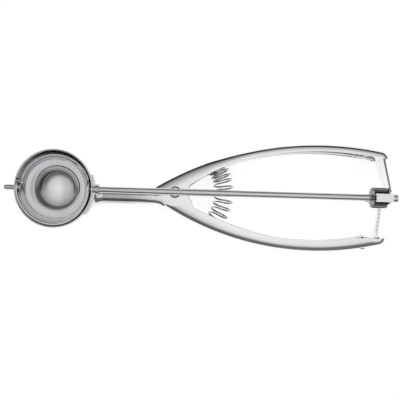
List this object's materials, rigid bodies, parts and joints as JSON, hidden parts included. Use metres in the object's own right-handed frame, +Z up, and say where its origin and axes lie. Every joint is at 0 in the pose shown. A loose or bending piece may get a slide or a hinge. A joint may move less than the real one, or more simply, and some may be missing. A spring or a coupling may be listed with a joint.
{
  "type": "lever ice cream scoop",
  "caption": "Squeeze-handle ice cream scoop: a lever, a toothed bar and a pinion turn a scraper blade inside a round steel bowl.",
  "frame": {"origin": "centre of the whole scoop's box in plan, at the height of the bowl's lowest point", "axes": "+X from the bowl to the ends of the handles, +Z up out of the bowl's mouth, +Y towards the fixed handle"},
  "size_m": [0.2358, 0.0664, 0.0315],
  "materials": {
    "polished_steel": "mirror polished stainless steel",
    "pressed_steel": "polished pressed stainless sheet",
    "rod_steel": "drawn and polished stainless rod",
    "blade_steel": "polished stainless strip",
    "machined_steel": "turned stainless steel",
    "gear_steel": "cut stainless steel",
    "spring_steel": "bright spring wire"
  },
  "bodies": {
    "frame": {"bowl": "polished_steel", "stem_saddle": "polished_steel", "front_bush": "machined_steel", "stem": "polished_steel", "stem_neck": "polished_steel", "fixed_handle": "pressed_steel", "pivot_rivet": "polished_steel", "fixed_spring_seat": "machined_steel", "return_spring": "spring_steel", "rear_bracket": "pressed_steel", "bracket_rivets": "machined_steel", "rear_bush": "machined_steel", "rack_guide": "pressed_steel", "guide_rivets": "machined_steel"},
    "lever": {"lever_handle": "pressed_steel", "pivot_spacer": "machined_steel", "lever_spring_seat": "machined_steel", "rack_bar": "pressed_steel", "rack_rivets": "machined_steel"},
    "rod": {"scraper_rod": "rod_steel", "scraper_blade": "blade_steel", "blade_front_pin": "rod_steel", "blade_rear_head": "machined_steel", "pinion": "gear_steel", "thrust_washer": "machined_steel", "rod_end_cap": "rod_steel"}
  },
  "joints": [
    {"name": "lever_squeeze", "type": "hinge", "parent": "frame", "child": "lever", "pos_m": [-0.0158, 0.0013, 0.00985], "axis": [0, 0, 1], "range_deg": [0, 7.13], "stiffness_Nm_per_rad": 1.2, "springref_deg": -6.88, "deforming": ["return_spring"]},
    {"name": "rod_spin", "type": "hinge", "parent": "frame", "child": "rod", "pos_m": [-0.0878, 0.0013, 0.0235], "axis": [1, 0, 0], "range_deg": [0, 164.4]}
  ],
  "couplings": [
    {"joint": "rod_spin", "follows": "lever_squeeze", "ratio": 23.04}
  ]
}
